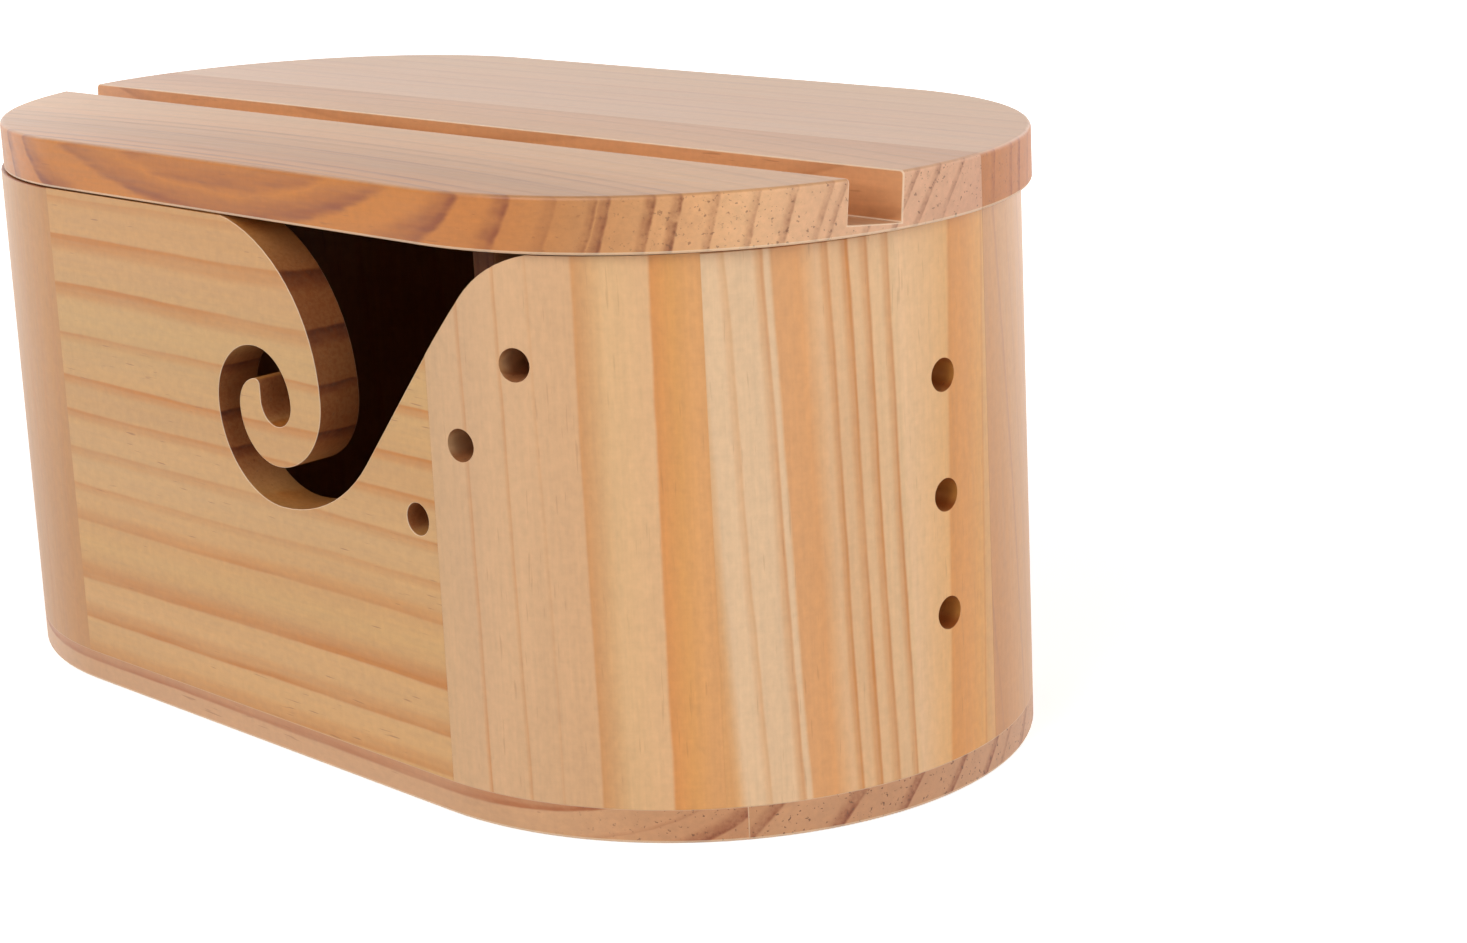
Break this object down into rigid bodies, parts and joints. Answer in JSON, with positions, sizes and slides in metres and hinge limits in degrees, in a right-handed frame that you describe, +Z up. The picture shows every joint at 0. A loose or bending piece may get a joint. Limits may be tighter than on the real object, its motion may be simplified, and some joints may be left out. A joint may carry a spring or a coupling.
{
  "type": "yarn dispenser box",
  "caption": "Pine yarn box with flat sides and round ends, a scroll-shaped yarn opening, hook holes and a loose lid with a phone groove.",
  "frame": {"origin": "middle of the box's underside; the loose lid lies 2.5 mm to the right, so the overall outline is centred 1.5 mm to the right of it", "axes": "+X along the box towards the end with the hook holes, +Y to the rear, +Z up through the lid"},
  "size_m": [0.293, 0.154, 0.137],
  "materials": {
    "pine_panel": "clear satin varnish on sanded pine, grain along the box",
    "pine_end": "clear satin varnish on sanded pine, grain upright",
    "pine_base": "clear satin varnish on sanded pine, grain along the box",
    "pine_lid": "clear satin varnish on sanded pine, grain along the box",
    "pine_batten": "planed pine, unvarnished"
  },
  "bodies": {
    "box": {"base_front_board": "pine_base", "base_rear_board": "pine_base", "front_panel": "pine_panel", "rear_panel": "pine_panel", "right_end_front_board": "pine_end", "right_end_middle_board": "pine_end", "right_end_rear_board": "pine_end", "left_end_front_board": "pine_end", "left_end_middle_board": "pine_end", "left_end_rear_board": "pine_end"},
    "lid": {"lid_front_board": "pine_lid", "lid_rear_board": "pine_lid", "lid_batten_right": "pine_batten", "lid_batten_left": "pine_batten"}
  },
  "joints": [
    {"name": "lid_lift", "type": "slide", "parent": "box", "child": "lid", "axis": [0, 0, 1], "range_m": [0, 0.15]}
  ]
}
